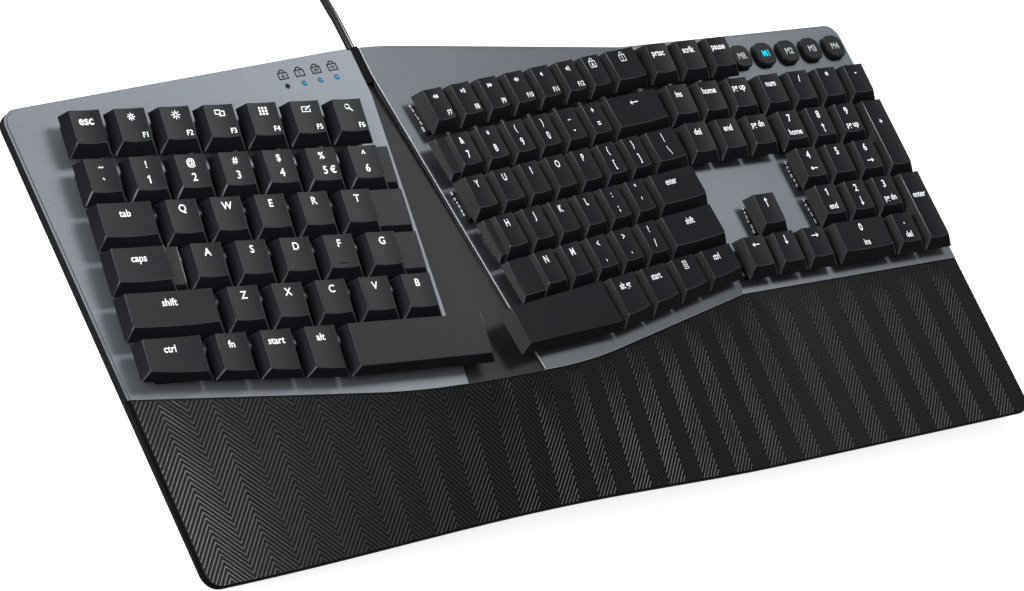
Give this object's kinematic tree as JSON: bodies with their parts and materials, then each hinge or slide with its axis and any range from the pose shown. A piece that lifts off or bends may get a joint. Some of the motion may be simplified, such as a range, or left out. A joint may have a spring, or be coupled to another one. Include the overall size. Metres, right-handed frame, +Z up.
{
  "type": "ergonomic keyboard",
  "caption": "Split, tented ergonomic keyboard with a number pad, full-width ribbed palm rest, press-in keys, fold-out rear feet and a coiled cable with a plug",
  "frame": {"origin": "on the desk, under the middle of the body without the cable", "axes": "X along the key rows to the right, Y from the user to the back, Z up"},
  "size_m": [0.474, 0.4389, 0.0479],
  "materials": {
    "key_plastic": "very dark grey, satin",
    "macro_button_plastic": "very dark grey, satin",
    "plate_metal": "dark grey anodised, fine grain",
    "case_plastic": "black, fine texture",
    "panel_plastic": "dark grey, matt",
    "palm_rubber": "black, herringbone ribs",
    "switch_plastic": "black",
    "board": "green, lacquered",
    "lamp_plastic": "translucent cyan",
    "screw_steel": "bare steel",
    "foot_rubber": "black",
    "cable_jacket": "black, semi gloss",
    "plug_metal": "nickel plated"
  },
  "bodies": {
    "keyboard_body": {"bottom_case": "case_plastic", "cable": "cable_jacket", "cable_boot": "cable_jacket", "cable_coil": "cable_jacket", "cable_tail": "cable_jacket", "case_screws": "screw_steel", "centre_panel": "panel_plastic", "controller_board": "board", "indicator_lamps": "lamp_plastic", "left_circuit_board": "board", "left_switches": "switch_plastic", "left_top_plate": "plate_metal", "number_pad_circuit_board": "board", "number_pad_switches": "switch_plastic", "number_pad_top_plate": "plate_metal", "palm_rest_pad": "palm_rubber", "palm_rest_tray": "case_plastic", "right_circuit_board": "board", "right_switches": "switch_plastic", "right_top_plate": "plate_metal", "rubber_feet": "foot_rubber", "usb_plug": "plug_metal", "usb_plug_housing": "cable_jacket"},
    "escape_key": {"escape_key": "key_plastic"},
    "tab_key": {"tab_key": "key_plastic"},
    "caps_lock_key": {"caps_lock_key": "key_plastic"},
    "left_shift_key": {"left_shift_key": "key_plastic"},
    "left_control_key": {"left_control_key": "key_plastic"},
    "left_space_key": {"left_space_key": "key_plastic"},
    "right_space_key": {"right_space_key": "key_plastic"},
    "right_shift_key": {"right_shift_key": "key_plastic"},
    "enter_key": {"enter_key": "key_plastic"},
    "backspace_key": {"backspace_key": "key_plastic"},
    "backslash_key": {"backslash_key": "key_plastic"},
    "right_control_key": {"right_control_key": "key_plastic"},
    "pad_plus_key": {"pad_plus_key": "key_plastic"},
    "pad_enter_key": {"pad_enter_key": "key_plastic"},
    "pad_zero_key": {"pad_zero_key": "key_plastic"},
    "arrow_up_key": {"arrow_up_key": "key_plastic"},
    "arrow_left_key": {"arrow_left_key": "key_plastic"},
    "arrow_down_key": {"arrow_down_key": "key_plastic"},
    "arrow_right_key": {"arrow_right_key": "key_plastic"},
    "left_function_keys": {"left_function_keys": "key_plastic"},
    "left_number_keys": {"left_number_keys": "key_plastic"},
    "left_upper_letter_keys": {"left_upper_letter_keys": "key_plastic"},
    "left_home_letter_keys": {"left_home_letter_keys": "key_plastic"},
    "left_lower_letter_keys": {"left_lower_letter_keys": "key_plastic"},
    "left_modifier_keys": {"left_modifier_keys": "key_plastic"},
    "right_function_keys": {"right_function_keys": "key_plastic"},
    "right_number_keys": {"right_number_keys": "key_plastic"},
    "right_upper_letter_keys": {"right_upper_letter_keys": "key_plastic"},
    "right_home_letter_keys": {"right_home_letter_keys": "key_plastic"},
    "right_lower_letter_keys": {"right_lower_letter_keys": "key_plastic"},
    "right_modifier_keys": {"right_modifier_keys": "key_plastic"},
    "system_keys": {"system_keys": "key_plastic"},
    "navigation_keys": {"navigation_keys": "key_plastic"},
    "number_pad_keys": {"number_pad_keys": "key_plastic"},
    "macro_buttons": {"macro_buttons": "macro_button_plastic"},
    "left_rear_foot": {"left_rear_foot": "case_plastic"},
    "right_rear_foot": {"right_rear_foot": "case_plastic"}
  },
  "joints": [
    {"name": "escape_key_press", "type": "slide", "parent": "keyboard_body", "child": "escape_key", "axis": [0.1426, 0, -0.9898], "range_m": [0, 0.003], "stiffness_N_per_m": 100, "springref_m": -0.0036},
    {"name": "tab_key_press", "type": "slide", "parent": "keyboard_body", "child": "tab_key", "axis": [0.1426, 0, -0.9898], "range_m": [0, 0.003], "stiffness_N_per_m": 100, "springref_m": -0.0036},
    {"name": "caps_lock_key_press", "type": "slide", "parent": "keyboard_body", "child": "caps_lock_key", "axis": [0.1426, 0, -0.9898], "range_m": [0, 0.003], "stiffness_N_per_m": 100, "springref_m": -0.0036},
    {"name": "left_shift_key_press", "type": "slide", "parent": "keyboard_body", "child": "left_shift_key", "axis": [0.1426, 0, -0.9898], "range_m": [0, 0.003], "stiffness_N_per_m": 100, "springref_m": -0.0036},
    {"name": "left_control_key_press", "type": "slide", "parent": "keyboard_body", "child": "left_control_key", "axis": [0.1426, 0, -0.9898], "range_m": [0, 0.003], "stiffness_N_per_m": 100, "springref_m": -0.0036},
    {"name": "left_space_key_press", "type": "slide", "parent": "keyboard_body", "child": "left_space_key", "axis": [0.1426, 0, -0.9898], "range_m": [0, 0.003], "stiffness_N_per_m": 100, "springref_m": -0.0036},
    {"name": "right_space_key_press", "type": "slide", "parent": "keyboard_body", "child": "right_space_key", "axis": [-0.1426, 0, -0.9898], "range_m": [0, 0.003], "stiffness_N_per_m": 100, "springref_m": -0.0036},
    {"name": "right_shift_key_press", "type": "slide", "parent": "keyboard_body", "child": "right_shift_key", "axis": [-0.1426, 0, -0.9898], "range_m": [0, 0.003], "stiffness_N_per_m": 100, "springref_m": -0.0036},
    {"name": "enter_key_press", "type": "slide", "parent": "keyboard_body", "child": "enter_key", "axis": [-0.1426, 0, -0.9898], "range_m": [0, 0.003], "stiffness_N_per_m": 100, "springref_m": -0.0036},
    {"name": "backspace_key_press", "type": "slide", "parent": "keyboard_body", "child": "backspace_key", "axis": [-0.1426, 0, -0.9898], "range_m": [0, 0.003], "stiffness_N_per_m": 100, "springref_m": -0.0036},
    {"name": "backslash_key_press", "type": "slide", "parent": "keyboard_body", "child": "backslash_key", "axis": [-0.1426, 0, -0.9898], "range_m": [0, 0.003], "stiffness_N_per_m": 100, "springref_m": -0.0036},
    {"name": "right_control_key_press", "type": "slide", "parent": "keyboard_body", "child": "right_control_key", "axis": [-0.1426, 0, -0.9898], "range_m": [0, 0.003], "stiffness_N_per_m": 100, "springref_m": -0.0036},
    {"name": "pad_plus_key_press", "type": "slide", "parent": "keyboard_body", "child": "pad_plus_key", "axis": [0, 0, -1], "range_m": [0, 0.003], "stiffness_N_per_m": 100, "springref_m": -0.0036},
    {"name": "pad_enter_key_press", "type": "slide", "parent": "keyboard_body", "child": "pad_enter_key", "axis": [0, 0, -1], "range_m": [0, 0.003], "stiffness_N_per_m": 100, "springref_m": -0.0036},
    {"name": "pad_zero_key_press", "type": "slide", "parent": "keyboard_body", "child": "pad_zero_key", "axis": [0, 0, -1], "range_m": [0, 0.003], "stiffness_N_per_m": 100, "springref_m": -0.0036},
    {"name": "arrow_up_key_press", "type": "slide", "parent": "keyboard_body", "child": "arrow_up_key", "axis": [0, 0, -1], "range_m": [0, 0.003], "stiffness_N_per_m": 100, "springref_m": -0.0036},
    {"name": "arrow_left_key_press", "type": "slide", "parent": "keyboard_body", "child": "arrow_left_key", "axis": [0, 0, -1], "range_m": [0, 0.003], "stiffness_N_per_m": 100, "springref_m": -0.0036},
    {"name": "arrow_down_key_press", "type": "slide", "parent": "keyboard_body", "child": "arrow_down_key", "axis": [0, 0, -1], "range_m": [0, 0.003], "stiffness_N_per_m": 100, "springref_m": -0.0036},
    {"name": "arrow_right_key_press", "type": "slide", "parent": "keyboard_body", "child": "arrow_right_key", "axis": [0, 0, -1], "range_m": [0, 0.003], "stiffness_N_per_m": 100, "springref_m": -0.0036},
    {"name": "left_function_keys_press", "type": "slide", "parent": "keyboard_body", "child": "left_function_keys", "axis": [0.1426, 0, -0.9898], "range_m": [0, 0.003], "stiffness_N_per_m": 600, "springref_m": -0.0036},
    {"name": "left_number_keys_press", "type": "slide", "parent": "keyboard_body", "child": "left_number_keys", "axis": [0.1426, 0, -0.9898], "range_m": [0, 0.003], "stiffness_N_per_m": 700, "springref_m": -0.0036},
    {"name": "left_upper_letter_keys_press", "type": "slide", "parent": "keyboard_body", "child": "left_upper_letter_keys", "axis": [0.1426, 0, -0.9898], "range_m": [0, 0.003], "stiffness_N_per_m": 500, "springref_m": -0.0036},
    {"name": "left_home_letter_keys_press", "type": "slide", "parent": "keyboard_body", "child": "left_home_letter_keys", "axis": [0.1426, 0, -0.9898], "range_m": [0, 0.003], "stiffness_N_per_m": 500, "springref_m": -0.0036},
    {"name": "left_lower_letter_keys_press", "type": "slide", "parent": "keyboard_body", "child": "left_lower_letter_keys", "axis": [0.1426, 0, -0.9898], "range_m": [0, 0.003], "stiffness_N_per_m": 500, "springref_m": -0.0036},
    {"name": "left_modifier_keys_press", "type": "slide", "parent": "keyboard_body", "child": "left_modifier_keys", "axis": [0.1426, 0, -0.9898], "range_m": [0, 0.003], "stiffness_N_per_m": 300, "springref_m": -0.0036},
    {"name": "right_function_keys_press", "type": "slide", "parent": "keyboard_body", "child": "right_function_keys", "axis": [-0.1426, 0, -0.9898], "range_m": [0, 0.003], "stiffness_N_per_m": 800, "springref_m": -0.0036},
    {"name": "right_number_keys_press", "type": "slide", "parent": "keyboard_body", "child": "right_number_keys", "axis": [-0.1426, 0, -0.9898], "range_m": [0, 0.003], "stiffness_N_per_m": 600, "springref_m": -0.0036},
    {"name": "right_upper_letter_keys_press", "type": "slide", "parent": "keyboard_body", "child": "right_upper_letter_keys", "axis": [-0.1426, 0, -0.9898], "range_m": [0, 0.003], "stiffness_N_per_m": 700, "springref_m": -0.0036},
    {"name": "right_home_letter_keys_press", "type": "slide", "parent": "keyboard_body", "child": "right_home_letter_keys", "axis": [-0.1426, 0, -0.9898], "range_m": [0, 0.003], "stiffness_N_per_m": 600, "springref_m": -0.0036},
    {"name": "right_lower_letter_keys_press", "type": "slide", "parent": "keyboard_body", "child": "right_lower_letter_keys", "axis": [-0.1426, 0, -0.9898], "range_m": [0, 0.003], "stiffness_N_per_m": 500, "springref_m": -0.0036},
    {"name": "right_modifier_keys_press", "type": "slide", "parent": "keyboard_body", "child": "right_modifier_keys", "axis": [-0.1426, 0, -0.9898], "range_m": [0, 0.003], "stiffness_N_per_m": 300, "springref_m": -0.0036},
    {"name": "system_keys_press", "type": "slide", "parent": "keyboard_body", "child": "system_keys", "axis": [0, 0, -1], "range_m": [0, 0.003], "stiffness_N_per_m": 300, "springref_m": -0.0036},
    {"name": "navigation_keys_press", "type": "slide", "parent": "keyboard_body", "child": "navigation_keys", "axis": [0, 0, -1], "range_m": [0, 0.003], "stiffness_N_per_m": 600, "springref_m": -0.0036},
    {"name": "number_pad_keys_press", "type": "slide", "parent": "keyboard_body", "child": "number_pad_keys", "axis": [0, 0, -1], "range_m": [0, 0.003], "stiffness_N_per_m": 1400, "springref_m": -0.0036},
    {"name": "macro_buttons_press", "type": "slide", "parent": "keyboard_body", "child": "macro_buttons", "axis": [0, 0, -1], "range_m": [0, 0.001], "stiffness_N_per_m": 1000, "springref_m": -0.0012},
    {"name": "left_rear_foot_fold", "type": "hinge", "parent": "keyboard_body", "child": "left_rear_foot", "pos_m": [-0.168, 0.044, 0.0034], "axis": [-1, 0, 0], "range_deg": [0, 90]},
    {"name": "right_rear_foot_fold", "type": "hinge", "parent": "keyboard_body", "child": "right_rear_foot", "pos_m": [0.168, 0.044, 0.0034], "axis": [-1, 0, 0], "range_deg": [0, 90]}
  ]
}
